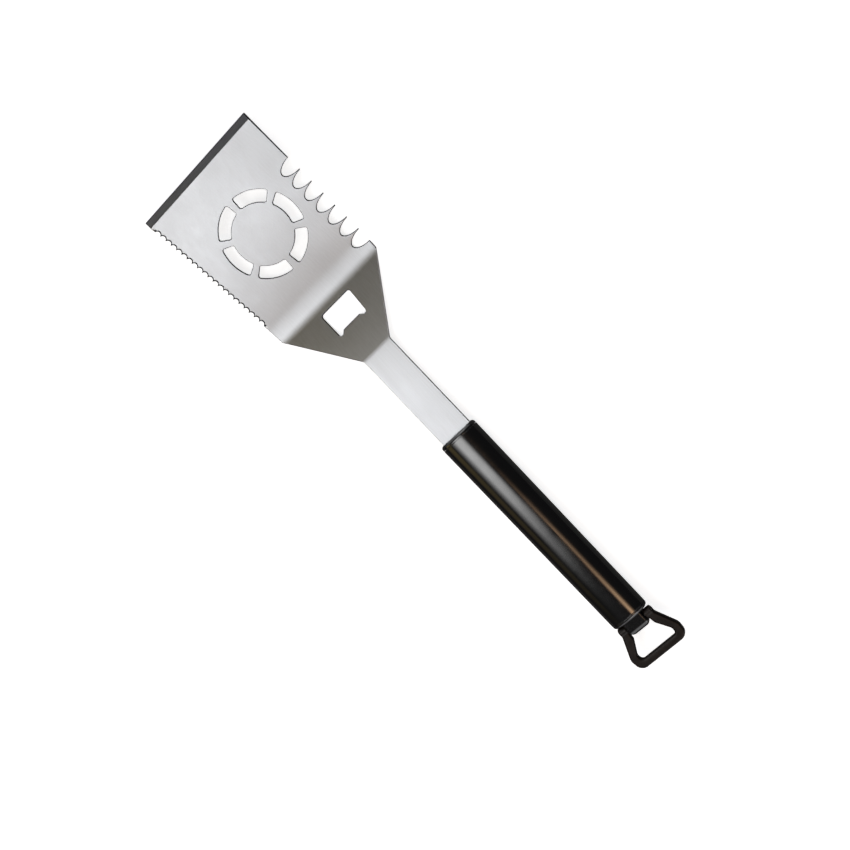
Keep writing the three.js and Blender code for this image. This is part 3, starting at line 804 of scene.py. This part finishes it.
def middle_line():
    """Knots along the sheet's middle: (place, point, normal with its mitre stretch)."""
    places = [0] + bend_places() + [MOUTH_PLACE, MOUTH_PLACE + TANG_SHOWN]
    rises = [math.radians(rise_at((a + b) / 2)) for a, b in zip(places, places[1:])]
    knots = []
    point = Vector((0, 0, 0))
    for i, place in enumerate(places):
        before = rises[max(i - 1, 0)]
        after = rises[min(i, len(rises) - 1)]
        facing = (before + after) / 2
        normal = Vector((math.sin(facing), 0, math.cos(facing))) / math.cos((after - before) / 2)
        knots.append((place, point.copy(), normal))
        if i < len(rises):
            step = places[i + 1] - place
            point += Vector((-step * math.cos(rises[i]), 0, step * math.sin(rises[i])))
    return knots


def bent_point(knots, x, y, z):
    """Where a point of the flat sheet comes to lie once the sheet is bent."""
    place = max(-x, 0)
    i = next((k for k, knot in enumerate(knots) if knot[0] >= place - 1e-4), len(knots) - 1)
    i = max(i, 1)
    start, end = knots[i - 1], knots[i]
    share = (place - start[0]) / (end[0] - start[0])
    spot = start[1].lerp(end[1], share) + start[2].lerp(end[2], share) * z
    spot.y = y
    return spot


def ground_share(x, y):
    """How thick the sheet is left by the ground bevels, from 1 down to the land at an edge."""
    front = 1 - (1 - FRONT_LAND / SHEET) * max(0, 1 + x / FRONT_BEVEL)
    past_start = (-x - TOOTH_START + SIDE_FADE) / SIDE_FADE
    before_end = (SERRATION_END + SIDE_FADE + x) / SIDE_FADE
    fade = min(max(past_start, 0), max(before_end, 0), 1)
    inward = half_width_at(-x) - y
    side = 1 - fade * (1 - SIDE_LAND / SHEET) * max(0, 1 - inward / SIDE_BEVEL)
    return min(front, side)


def head_plate(material, painted_shade_material, ground_material):
    """The stamped sheet: flat blank, ground bevels, bends, and a grain direction in its UV map."""
    holes = [drain_slot(number) for number in range(DRAIN_COUNT)] + [opener_window()]
    # Walls back to the neck's middle take painted shade (near-black steel); the walls further back
    # stay plain steel.
    bm = rounded_slab(blank_outline(), holes, -SHEET / 2, SHEET / 2, edge_round, LOWER_ROUND,
                      lambda point: PAINTED_SHADE_FACE if -point.x < NECK_MIDDLE else SHEET_FACE)
    cuts = bend_places() + [FRONT_BEVEL, MOUTH_PLACE - 20]
    cuts += [TOOTH_START - SIDE_FADE, TOOTH_START - SIDE_FADE / 2, TOOTH_START]
    cuts += [SERRATION_END, SERRATION_END + SIDE_FADE / 2, SERRATION_END + SIDE_FADE]
    for place in cuts:
        split_at(bm, (-place, 0, 0), (1, 0, 0))
    taper = (half_width_at(0) - half_width_at(BEND_PLACE)) / BEND_PLACE
    side_normal = Vector((-taper, 1, 0)).normalized()
    ridge = Vector((0, half_width_at(0) - SIDE_BEVEL, 0))
    split_at(bm, ridge, side_normal)
    grain = bm.loops.layers.uv.new("grain")
    for face in bm.faces:
        for corner in face.loops:
            corner[grain].uv = (corner.vert.co.y * GRAIN_SCALE, corner.vert.co.x * GRAIN_SCALE)
    mark_bevels(bm, ridge, side_normal)
    mark_ridges(bm, ridge, side_normal)
    knots = middle_line()
    for vertex in bm.verts:
        x, y, z = vertex.co
        ground = -SHEET / 2 + (z + SHEET / 2) * ground_share(x, y)
        vertex.co = bent_point(knots, x, y, ground)
    plate = make_object("head_plate_formed", bm, BLADE_FRAME, material)
    # second slot: painted shade on the sheared edges and the serration bevel
    plate.data.materials.append(painted_shade_material)
    plate.data.materials.append(ground_material)
    return plate


def mark_bevels(bm, ridge, side_normal):
    """Gives the upper faces of the two ground bevels their own material slots: painted shade on the
    serration's.
    """
    start, end = TOOTH_START - SIDE_FADE / 2, SERRATION_END + SIDE_FADE / 2
    for face in bm.faces:
        middle = face.calc_center_median()
        if face.normal.z < UPWARD or face.material_index == PAINTED_SHADE_FACE:
            continue
        beside_ridge = (middle - ridge).dot(side_normal) > 0
        if beside_ridge and start < -middle.x < end:
            face.material_index = PAINTED_SHADE_FACE
        elif middle.x > -FRONT_BEVEL:
            face.material_index = GROUND_FACE


def mark_ridges(bm, ridge, side_normal):
    """Keeps the upper lines where the ground bevels start crisp."""
    near = 1e-3
    start, end = TOOTH_START - SIDE_FADE, SERRATION_END + SIDE_FADE
    for edge in bm.edges:
        on_front = all(abs(v.co.x + FRONT_BEVEL) < near for v in edge.verts)
        on_side = all(abs((v.co - ridge).dot(side_normal)) < near for v in edge.verts)
        on_side = on_side and all(start <= -v.co.x <= end for v in edge.verts)
        upper = all(v.co.z > SHEET / 2 - 0.01 for v in edge.verts)
        if upper and (on_front or on_side):
            edge.smooth = False


# ---------------------------------------------------------------- handle


def section_ring(place, inset):
    return [(-place, y, z) for y, z in section_outline(place, inset)]


def handle_shell(material):
    """The hollow oval tube, with a countersunk seat for the screw in its underside."""
    start = COLLAR_LENGTH + CLEARANCE
    end = HANDLE_LENGTH - FLANGE_LENGTH - CLEARANCE
    rings = []
    for k in range(EDGE_STEPS + 1):
        angle = math.pi / 2 * k / EDGE_STEPS
        along, inset = 1 - math.sin(angle), 1 - math.cos(angle)
        rings.append(section_ring(start + SHELL_FRONT_ROUND * along, SHELL_FRONT_ROUND * inset))
        rings.append(section_ring(end - SHELL_REAR_ROUND * along, SHELL_REAR_ROUND * inset))
    rings.sort(key=lambda ring: -ring[0][0])
    rings += [section_ring(end, SHELL_WALL), section_ring(start, SHELL_WALL)]
    shell = make_object("handle_shell_gloss", loft(rings, hollow=True), HANDLE_FRAME, material)
    bottom = -HANDLE_THICKNESS / 2
    seat = lathe([
        (SCREW_HEAD_RADIUS + CLEARANCE + 1, bottom - 1),
        (SCREW_RADIUS + CLEARANCE, bottom + SCREW_HEAD_HEIGHT),
        (SCREW_RADIUS + CLEARANCE, bottom + SHELL_WALL + 1),
    ])
    seat.transform(Matrix.Translation((-SCREW_PLACE, 0, 0)))
    return with_boolean(shell, seat, HANDLE_FRAME, "DIFFERENCE")


# Turns a plate drawn in (y, z) with its thickness along z into one that lies across the handle.
ACROSS = Matrix(((0, 0, 1, 0), (1, 0, 0, 0), (0, 1, 0, 0), (0, 0, 0, 1)))


def collar_edge(across, up):
    """The collar's front is well rounded outside and crisp round the slot for the steel."""
    inside_slot = abs(up) < SHEET and abs(across) < STRIP_WIDTH / 2 + 1
    return SLOT_EDGE if inside_slot else COLLAR_ROUND


def box_corners(half_width, half_height):
    return [(half_width, half_height), (-half_width, half_height), (-half_width, -half_height),
            (half_width, -half_height)]


def front_collar(material):
    """The ring that closes the handle's mouth, with a spigot that reaches into the shell."""
    slot_height = SHEET / 2 + CLEARANCE
    corners = box_corners(STRIP_WIDTH / 2 + CLEARANCE, slot_height)
    slot = rounded([(x, y, SLOT_CORNER) for x, y in corners], steps=3)
    plate = rounded_slab(section_outline(0, PLATE_INSET), [slot], -COLLAR_LENGTH, 0, collar_edge,
                         PLATE_EDGE)
    collar = make_object("front_collar_gloss", plate, HANDLE_FRAME @ ACROSS, material)
    tang_slot = box_corners(TANG_WIDTH / 2 + CLEARANCE, slot_height)
    spigot = rounded_slab(section_outline(COLLAR_LENGTH, COLLAR_SPIGOT_INSET), [tang_slot],
                          -(COLLAR_LENGTH + COLLAR_SPIGOT), -(COLLAR_LENGTH - SPIGOT_OVERLAP),
                          SPIGOT_EDGE)
    return with_boolean(collar, spigot, HANDLE_FRAME @ ACROSS, "UNION")


def tongue():
    """The butt's rounded tongue: a soft-cornered bar whose nose is round both ways."""
    start = HANDLE_LENGTH - 0.6
    half_width, half_height = TONGUE_WIDTH / 2, TONGUE_THICKNESS / 2
    nose = TONGUE_END - half_height
    places = [start, start + 2, nose]
    places += [nose + half_height * math.sin(math.pi / 2 * k / 14) for k in range(1, 14)]
    rings = []
    for place in places:
        height = math.sqrt(max(half_height**2 - max(place - nose, 0) ** 2, 0.05))
        into_corner = max(place - (TONGUE_END - TONGUE_CORNER), 0)
        width = half_width - TONGUE_CORNER + math.sqrt(TONGUE_CORNER**2 - into_corner**2)
        soft = min(1.4, height * 0.9)
        outline = rounded([(y, z, soft) for y, z in box_corners(width, height)])
        rings.append([(-place, y, z) for y, z in outline])
    return loft(rings)


def end_cap(material):
    """The butt's flange with its tongue, and a spigot that the screw holds in the shell."""
    flange_start = HANDLE_LENGTH - FLANGE_LENGTH
    outline = section_outline(HANDLE_LENGTH, PLATE_INSET)
    flange = rounded_slab(outline, [], -HANDLE_LENGTH, -flange_start, PLATE_EDGE, CAP_ROUND)
    cap = make_object("end_cap_gloss", flange, HANDLE_FRAME @ ACROSS, material)
    with_boolean(cap, tongue(), HANDLE_FRAME, "UNION")
    inset = SHELL_WALL + CLEARANCE
    spigot = loft([section_ring(flange_start + SPIGOT_OVERLAP, inset),
                   section_ring(flange_start - CAP_SPIGOT, inset)])
    with_boolean(cap, spigot, HANDLE_FRAME, "UNION")
    pilot = lathe([(SCREW_RADIUS + CLEARANCE, -HANDLE_THICKNESS),
                   (SCREW_RADIUS + CLEARANCE, -HANDLE_THICKNESS / 2 + SCREW_LENGTH + 1)])
    pilot.transform(Matrix.Translation((-SCREW_PLACE, 0, 0)))
    return with_boolean(cap, pilot, HANDLE_FRAME, "DIFFERENCE")


def cap_screw(material):
    """Countersunk cross-head screw, its head just below the shell's underside."""
    bottom = -HANDLE_THICKNESS / 2 + SCREW_SUNK
    profile = [
        (SCREW_HEAD_RADIUS - 0.25, bottom),
        (SCREW_HEAD_RADIUS, bottom + 0.2),
        (SCREW_RADIUS, bottom + SCREW_HEAD_HEIGHT),
        (SCREW_RADIUS, bottom + SCREW_LENGTH),
    ]
    place = Matrix.Translation((-SCREW_PLACE, 0, 0))
    body = lathe(profile)
    body.transform(place)
    screw = make_object("end_cap_screw_driven", body, HANDLE_FRAME, material)
    for turn in (0, 90):
        blade = rounded_slab(box_corners(RECESS_REACH, RECESS_HALF_WIDTH), [], bottom - 1,
                             bottom + RECESS_DEPTH, 0.05)
        blade.transform(place @ Matrix.Rotation(math.radians(turn + RECESS_TURN), 4, "Z"))
        with_boolean(screw, blade, HANDLE_FRAME, "DIFFERENCE")
    return screw


# ---------------------------------------------------------------- hanging loop

UPRIGHT_TO_CROSSWAYS = Matrix.Rotation(math.radians(-90), 4, "X")


def crossways(profile):
    """A turned solid laid across the handle, on the loop pin's axis."""
    bar = lathe(profile)
    bar.transform(Matrix.Translation((-PIN_PLACE, 0, 0)) @ UPRIGHT_TO_CROSSWAYS)
    return bar


def loop_pin(material):
    """The cross pin, with eased ends."""
    end = PIN_HALF_LENGTH
    profile = [(0.5, -end), (1.1, -end + 0.12), (PIN_RADIUS, -end + 0.5), (PIN_RADIUS, end - 0.5),
               (1.1, end - 0.12), (0.5, end)]
    return make_object("loop_pin_turned", crossways(profile), HANDLE_FRAME, material)


def hang_loop(material):
    """The cast loop with a round boss and a bore in each leg."""
    plan = rounded_slab(loop_outline(), [], -LOOP_THICKNESS / 2, LOOP_THICKNESS / 2, LOOP_EDGE)
    loop = make_object("hang_loop_cast", plan, HANDLE_FRAME, material)
    inner = TONGUE_WIDTH / 2 + CLEARANCE
    outer = LOOP_ROOT_WIDTH / 2
    radius = LOOP_EYE_RADIUS
    for side in (1, -1):
        ends = sorted((side * inner, side * outer))
        profile = [(radius - 0.5, ends[0]), (radius, ends[0] + 0.4), (radius, ends[1] - 0.6),
                   (radius - 0.7, ends[1])]
        with_boolean(loop, crossways(profile), HANDLE_FRAME, "UNION")
    bore = PIN_RADIUS + CLEARANCE
    cutter = crossways([(bore, -BORE_REACH), (bore, BORE_REACH)])
    return with_boolean(loop, cutter, HANDLE_FRAME, "DIFFERENCE")


# ---------------------------------------------------------------- studio


def floor():
    bm = bmesh.new()
    bmesh.ops.create_grid(bm, x_segments=8, y_segments=8, size=FLOOR_REACH)
    mesh = bpy.data.meshes.new("studio_floor")
    bm.to_mesh(mesh)
    bm.free()
    mesh.materials.append(floor_material())
    obj = bpy.data.objects.new("studio_floor", mesh)
    bpy.context.scene.collection.objects.link(obj)


def light_profile(tree, value, stops):
    """Brightness over one side of a light, from (share, level) stops."""
    ramp = add_node(tree, "ShaderNodeValToRGB")
    elements = ramp.color_ramp.elements
    ramp.color_ramp.interpolation = "CARDINAL"
    for number, (share, level) in enumerate(stops):
        element = elements[number] if number < len(elements) else elements.new(share)
        element.position = share
        element.color = (level, level, level, 1)
    tree.links.new(value, ramp.inputs["Fac"])
    return ramp.outputs["Color"]


def soft_light(name, place, aim, size, radiance, colour, across, along):
    """An area light given by the radiance of its brightest spot, fading over its face.

    Without an aim it faces straight down.
    """
    light = bpy.data.lights.new(name, "AREA")
    light.shape = "RECTANGLE"
    light.size, light.size_y = size
    light.energy = radiance * size[0] * size[1] * math.pi
    light.color = colour
    light.use_nodes = True
    tree = light.node_tree
    emission = next(node for node in tree.nodes if node.type == "EMISSION")
    source = add_node(tree, "ShaderNodeNewGeometry")
    parts = add_node(tree, "ShaderNodeSeparateXYZ")
    tree.links.new(source.outputs["Parametric"], parts.inputs["Vector"])
    first = light_profile(tree, parts.outputs["X"], across)
    second = light_profile(tree, parts.outputs["Y"], along)
    tree.links.new(combine(tree, "MULTIPLY", first, second), emission.inputs["Strength"])
    obj = bpy.data.objects.new(name, light)
    obj.location = place
    if aim is not None:
        direction = Vector(aim) - Vector(place)
        obj.rotation_euler = direction.to_track_quat("-Z", "Y").to_euler()
    bpy.context.scene.collection.objects.link(obj)
    return obj


def overhead_softbox():
    """The main light, high beyond the tool's left side and turned a little."""
    across = [(0, 0), (0.1, 0.03), (0.17, 0.16), (0.25, 0.52), (0.4, 1), (0.5, 0.97), (0.6, 1.06),
              (0.74, 1.04), (0.86, 0.4), (1, 0)]
    along = [(0, 0), (0.07, 0.22), (0.127, 0.52), (0.22, 0.88), (0.35, 1.05), (0.46, 1),
             (0.6, 0.5), (0.76, 0.2), (1, 0)]
    light = soft_light("overhead_softbox", (-0.02, 0.67, 1.5), None, (0.92, 1.26), 3.9, WHITE,
                       across, along)
    light.rotation_euler.z = math.radians(13)


def warm_window():
    """A warm light over the handle, which draws the tan streak along it."""
    across = [(0, 0), (0.16, 0.8), (0.32, 1), (0.435, 0.72), (0.55, 0.28), (0.68, 0.36),
              (0.79, 0.18), (0.89, 0.05), (1, 0)]
    along = [(0, 0), (0.35, 0.4), (0.65, 1), (0.9, 0.5), (1, 0)]
    soft_light("warm_window", (-0.39, -0.20, 1.5), None, (0.62, 0.60), 4.6, (1, 0.64, 0.38),
               across, along)


def olive_card():
    """A dim card low beyond the tool's left side, seen along the handle's edge."""
    across = [(0, 0), (0.2, 1), (0.5, 1), (0.62, 0.6), (0.72, 0.35), (0.85, 0.2), (1, 0.1)]
    along = [(0, 0.2), (0.3, 1), (0.85, 1), (1, 0.5)]
    soft_light("olive_card", (0.20, 1.65, 1.1), (0, 0, 0.1), (1.5, 0.9), 0.75, (1, 0.76, 0.30),
               across, along)


def side_fills():
    """Plain fills beyond the tool's two ends."""
    for name, x in (("front_side_fill", 1.9), ("rear_side_fill", -1.9)):
        soft_light(name, (x, 0, 1.5), (0, 0, 0), (1.6, 1.6), 1.1, WHITE, FILL_PROFILE,
                   FILL_PROFILE)


def world():
    """A room dark beside the tool and lighter beyond its ends. The camera sees it plain white."""
    dark, light = (0.03, 0.03, 0.032), (0.75, 0.75, 0.765)
    room = bpy.data.worlds.new("studio_room")
    bpy.context.scene.world = room
    room.use_nodes = True
    tree = room.node_tree
    tree.nodes.clear()
    source = add_node(tree, "ShaderNodeTexCoord")
    parts = add_node(tree, "ShaderNodeSeparateXYZ")
    tree.links.new(source.outputs["Generated"], parts.inputs["Vector"])
    endward = combine(tree, "ABSOLUTE", parts.outputs["X"], 0)
    colour = blend_colours(tree, remap(tree, endward, 0.5, 0.78, 0, 1), dark, light)
    background = add_node(tree, "ShaderNodeBackground")
    tree.links.new(colour, background.inputs["Color"])
    backdrop = add_node(tree, "ShaderNodeBackground")
    backdrop.inputs["Color"].default_value = (1, 1, 1, 1)
    chooser = add_node(tree, "ShaderNodeMixShader")
    rays = add_node(tree, "ShaderNodeLightPath")
    output = add_node(tree, "ShaderNodeOutputWorld")
    tree.links.new(rays.outputs["Is Camera Ray"], chooser.inputs["Fac"])
    tree.links.new(background.outputs["Background"], chooser.inputs[1])
    tree.links.new(backdrop.outputs["Background"], chooser.inputs[2])
    tree.links.new(chooser.outputs["Shader"], output.inputs["Surface"])


def camera():
    azimuth, elevation = math.radians(CAMERA_AZIMUTH), math.radians(CAMERA_ELEVATION)
    outward = Vector((math.cos(azimuth) * math.cos(elevation),
                      math.sin(azimuth) * math.cos(elevation), math.sin(elevation)))
    data = bpy.data.cameras.new("product_camera")
    data.lens = CAMERA_LENS
    data.sensor_width = CAMERA_SENSOR
    obj = bpy.data.objects.new("product_camera", data)
    obj.location = CAMERA_AIM + outward * CAMERA_DISTANCE
    level = (-outward).to_track_quat("-Z", "Y").to_matrix().to_4x4()
    roll = Matrix.Rotation(math.radians(CAMERA_ROLL), 4, "Z")
    obj.matrix_world = Matrix.Translation(obj.location) @ level @ roll
    bpy.context.scene.collection.objects.link(obj)
    bpy.context.scene.camera = obj


# ---------------------------------------------------------------- assembly


def add_piece(piece, node, body="tool"):
    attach(piece, body)
    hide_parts(node)


def repaint(node, material):
    """Gives a CAD node that stays a better material."""
    for material_slot in frame["nodes"][node].material_slots:
        material_slot.material = material


camera()
world()
floor()
overhead_softbox()
warm_window()
olive_card()
side_fills()

head_steel = brushed_steel("head_steel_brushed")
handle_black = gloss_black("handle_black_gloss")
loop_black = cast_black("loop_black_cast")
core_plastic = matte_plastic("core_plastic_matte")
fastener_steel = turned_steel("fastener_steel_turned")

# The middle material is painted shade for the sheared edges and the serration bevel.
plate = head_plate(head_steel, painted_shade_edge_steel("head_steel_painted_shade_edges"), ground_steel("head_steel_ground"))
add_piece(plate, "head_plate")
add_piece(handle_shell(handle_black), "handle_shell")
add_piece(front_collar(handle_black), "front_collar")
add_piece(end_cap(handle_black), "end_cap")
add_piece(cap_screw(fastener_steel), "end_cap_screw")
add_piece(loop_pin(fastener_steel), "loop_pin")
add_piece(hang_loop(loop_black), "hang_loop", "loop")
for node in ("tang_core_upper", "tang_core_lower"):
    repaint(node, core_plastic)
for node in ("core_rivet_front", "core_rivet_rear"):
    repaint(node, fastener_steel)

bpy.context.scene.view_settings.view_transform = "Standard"
